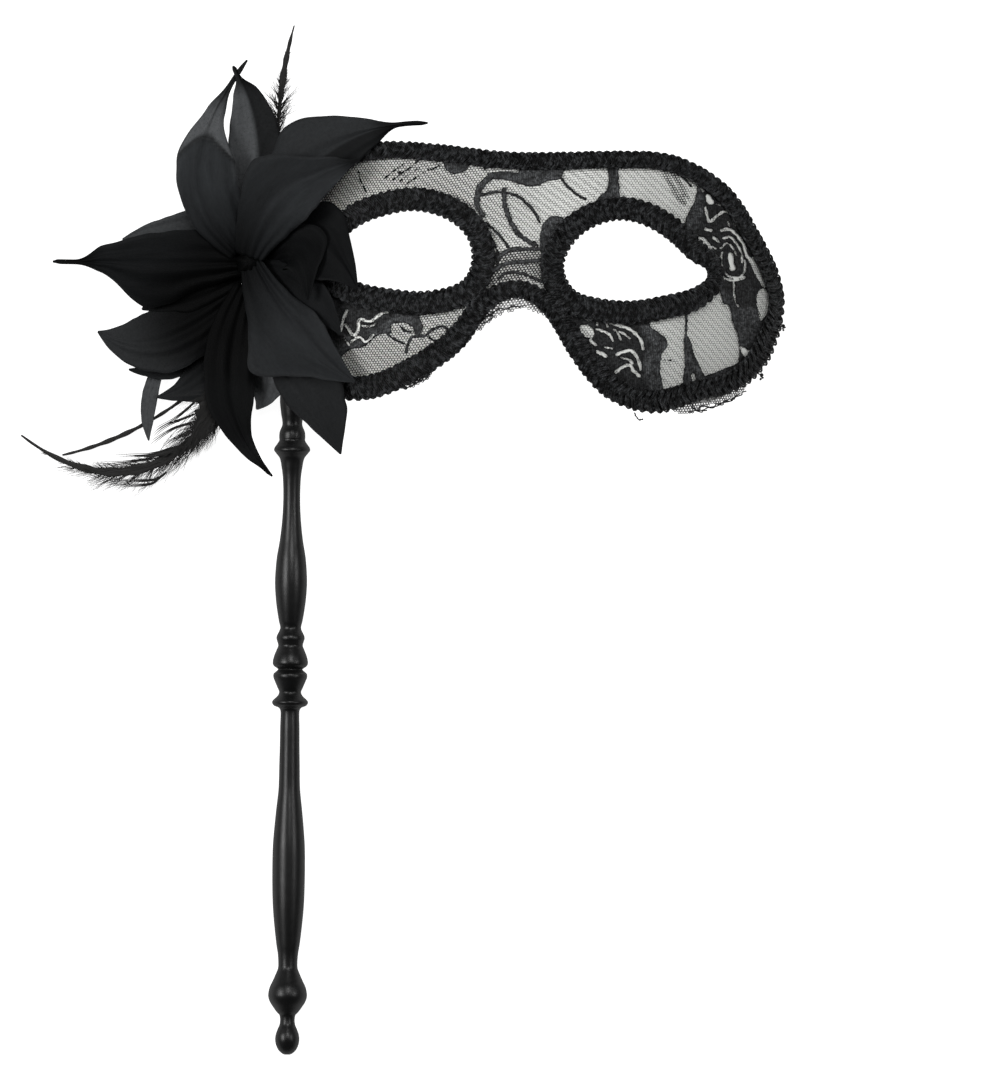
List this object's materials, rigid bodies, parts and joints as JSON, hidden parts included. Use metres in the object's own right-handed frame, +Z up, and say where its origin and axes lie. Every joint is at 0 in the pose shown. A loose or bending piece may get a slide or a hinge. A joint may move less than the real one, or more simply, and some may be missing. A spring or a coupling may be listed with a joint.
{
  "type": "lace masquerade mask on a stick",
  "caption": "Curved half mask covered in black rose lace with gimp braid round rim and eyes, a fabric flower with feathers at one temple, on a turned black handle stick.",
  "frame": {"origin": "middle of the underside of the whole object as it lies face up on a table", "axes": "+Z up out of the mask's face, +Y from the stick's end towards the brow, +X towards the plain temple"},
  "size_m": [0.2604, 0.3506, 0.0577],
  "materials": {
    "backing": "matt off-white",
    "lace": "black net with woven roses",
    "braid": "black gimp braid",
    "petal": "black organza",
    "feather": "black feather",
    "stick": "black gloss"
  },
  "bodies": {
    "root": {"mask_shell": "backing", "lace_cover": "lace", "rim_braid": "braid", "right_eye_braid": "braid", "left_eye_braid": "braid", "stick_upper": "stick", "stick_lower": "stick", "petal_right_upper_front": "petal", "petal_right_lower_front": "petal", "petal_top_front": "petal", "petal_left_front": "petal", "petal_bottom_front": "petal", "petal_left_lower": "petal", "petal_top_back": "petal", "petal_right_upper_back": "petal", "petal_right_lower_back": "petal", "petal_right_middle": "petal", "petal_right_inner": "petal", "petal_left_back": "petal", "petal_bottom_left_back": "petal", "petal_lower_left_tip": "petal", "petal_hanging_strip": "petal", "petal_bottom_small": "petal", "feather_long": "feather", "feather_thin": "feather", "feather_short": "feather", "feather_fluff": "feather", "feather_top": "feather"}
  },
  "joints": []
}
